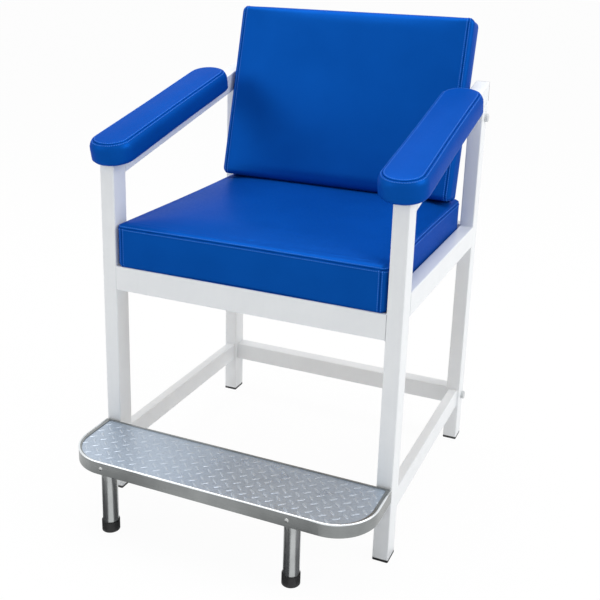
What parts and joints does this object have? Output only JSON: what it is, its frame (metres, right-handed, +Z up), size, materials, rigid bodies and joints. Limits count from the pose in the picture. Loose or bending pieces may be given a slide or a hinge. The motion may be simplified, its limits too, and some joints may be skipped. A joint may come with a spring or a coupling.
{
  "type": "phlebotomy chair",
  "caption": "Steel-tube patient chair with sloping padded armrests, thick seat and back pads, and a fixed metal foot step on its own legs.",
  "frame": {"origin": "on the floor, under the middle of the whole chair with its step", "axes": "+X to the right as seen by someone who faces the chair, +Y towards the back of the chair, +Z up"},
  "size_m": [0.65, 0.7037, 0.9474],
  "materials": {
    "white_paint": "satin white powder coat on rectangular steel tube",
    "blue_vinyl": "royal blue upholstery vinyl with a fine grain and a soft sheen",
    "plywood": "sanded birch plywood",
    "black_plastic": "matt black moulded plastic",
    "grey_plastic": "light grey moulded plastic",
    "black_rubber": "black rubber",
    "step_steel": "brushed stainless steel",
    "tread_plate": "bright aluminium tread plate with raised bars",
    "zinc": "zinc plated steel"
  },
  "bodies": {
    "root": {"front_post_left": "white_paint", "front_post_right": "white_paint", "rear_post_left": "white_paint", "rear_post_right": "white_paint", "arm_rail_left": "white_paint", "arm_rail_right": "white_paint", "seat_rail_front": "white_paint", "seat_rail_rear": "white_paint", "seat_rail_left": "white_paint", "seat_rail_right": "white_paint", "seat_bearer": "white_paint", "seat_tabs": "white_paint", "side_stretcher_left": "white_paint", "side_stretcher_right": "white_paint", "rear_stretcher": "white_paint", "back_rail": "white_paint", "stretcher_bolts": "zinc", "back_rail_bolts": "zinc", "bolt_caps": "grey_plastic", "foot_glides": "black_plastic", "arm_rail_plugs": "black_plastic", "arm_board_left": "plywood", "arm_board_right": "plywood", "arm_pad_left": "blue_vinyl", "arm_pad_right": "blue_vinyl", "arm_screws": "zinc", "seat_board": "plywood", "seat_cushion": "blue_vinyl", "seat_screws": "zinc", "back_bracket_left": "white_paint", "back_bracket_right": "white_paint", "bracket_bolts": "zinc", "back_wedges": "black_plastic", "back_wedge_screws": "zinc", "back_board": "plywood", "back_cushion": "blue_vinyl", "back_screws": "zinc", "step_rim": "step_steel", "step_tread_plate": "tread_plate", "step_stiffener": "step_steel", "step_leg_left": "step_steel", "step_leg_right": "step_steel", "step_leg_brackets": "step_steel", "rim_rivets": "zinc", "step_ferrules": "black_rubber", "step_mount_bolts": "zinc", "step_washers": "black_rubber"}
  },
  "joints": []
}
